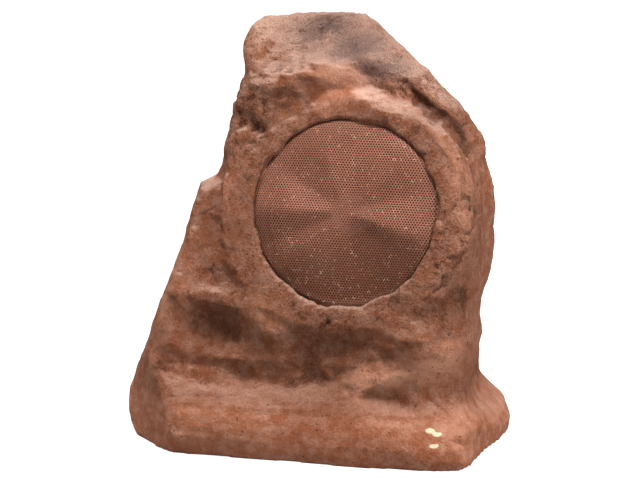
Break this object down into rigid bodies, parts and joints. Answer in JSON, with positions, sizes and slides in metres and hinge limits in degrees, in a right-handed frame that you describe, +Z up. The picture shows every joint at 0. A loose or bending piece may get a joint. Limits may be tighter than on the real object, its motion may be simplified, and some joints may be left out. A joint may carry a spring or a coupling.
{
  "type": "rock shaped garden loudspeaker",
  "caption": "Weatherproof garden loudspeaker in a hollow moulded rock, with a round pleated perforated grille over a coaxial driver and a cable gland at the back.",
  "frame": {"origin": "middle of the base plate's underside, on the ground", "axes": "+Z up, the grille faces -Y and leans back, +X is to the right seen from the front"},
  "size_m": [0.3254, 0.2662, 0.36],
  "materials": {
    "rock_shell": "rough mineral-filled resin, stained red-brown",
    "base_plate": "moulded, fine matt grain",
    "base_seal": "closed-cell foam rubber",
    "base_screws": "stainless",
    "grille": "pleated perforated sheet, sprayed to match the rock",
    "grille_gasket": "foam strip",
    "grille_spacer": "moulded black",
    "baffle": "moulded board",
    "baffle_screws": "stainless",
    "woofer_basket": "pressed steel, black coat",
    "woofer_gasket": "foam strip",
    "woofer_screws": "black zinc",
    "woofer_surround": "butyl rubber",
    "woofer_cone": "ribbed polypropylene",
    "spider": "resin-dipped cloth",
    "voice_coil_former": "thin foil",
    "voice_coil": null,
    "top_plate": "zinc plated",
    "magnet": "sintered ferrite",
    "pole_yoke": "zinc plated",
    "terminal_strip": "tags on a fibre strip",
    "tweeter_post": "turned",
    "tweeter_housing": "moulded black",
    "tweeter_dome": "coated silk",
    "tweeter_faceplate": "moulded black",
    "crossover_board": "glass-filled board",
    "crossover_screws": "stainless",
    "woofer_inductor": null,
    "tweeter_inductor": null,
    "capacitors": "sleeved",
    "resistor": "cement filled",
    "input_terminal": "moulded",
    "gland_body": "nylon",
    "gland_locknut": "nylon",
    "gland_seal": "soft rubber",
    "gland_cap": "nylon"
  },
  "bodies": {
    "cabinet": {"rock_shell": "rock_shell", "base_plate": "base_plate", "base_seal": "base_seal", "base_screws": "base_screws", "grille": "grille", "grille_gasket": "grille_gasket", "grille_spacer": "grille_spacer", "baffle": "baffle", "baffle_screws": "baffle_screws", "woofer_basket": "woofer_basket", "woofer_gasket": "woofer_gasket", "woofer_screws": "woofer_screws", "woofer_surround": "woofer_surround", "spider": "spider", "top_plate": "top_plate", "magnet": "magnet", "pole_yoke": "pole_yoke", "terminal_strip": "terminal_strip", "tweeter_post": "tweeter_post", "tweeter_housing": "tweeter_housing", "tweeter_dome": "tweeter_dome", "tweeter_faceplate": "tweeter_faceplate", "crossover_board": "crossover_board", "crossover_screws": "crossover_screws", "woofer_inductor": "woofer_inductor", "tweeter_inductor": "tweeter_inductor", "capacitors": "capacitors", "resistor": "resistor", "input_terminal": "input_terminal", "gland_body": "gland_body", "gland_locknut": "gland_locknut", "gland_seal": "gland_seal", "gland_cap": "gland_cap"},
    "cone": {"woofer_cone": "woofer_cone", "voice_coil_former": "voice_coil_former", "voice_coil": "voice_coil"}
  },
  "joints": [
    {"name": "cone_travel", "type": "slide", "parent": "cabinet", "child": "cone", "axis": [0, -0.9659, 0.2588], "range_m": [-0.004, 0.004], "stiffness_N_per_m": 1000, "deforming": ["woofer_surround", "spider"]}
  ]
}
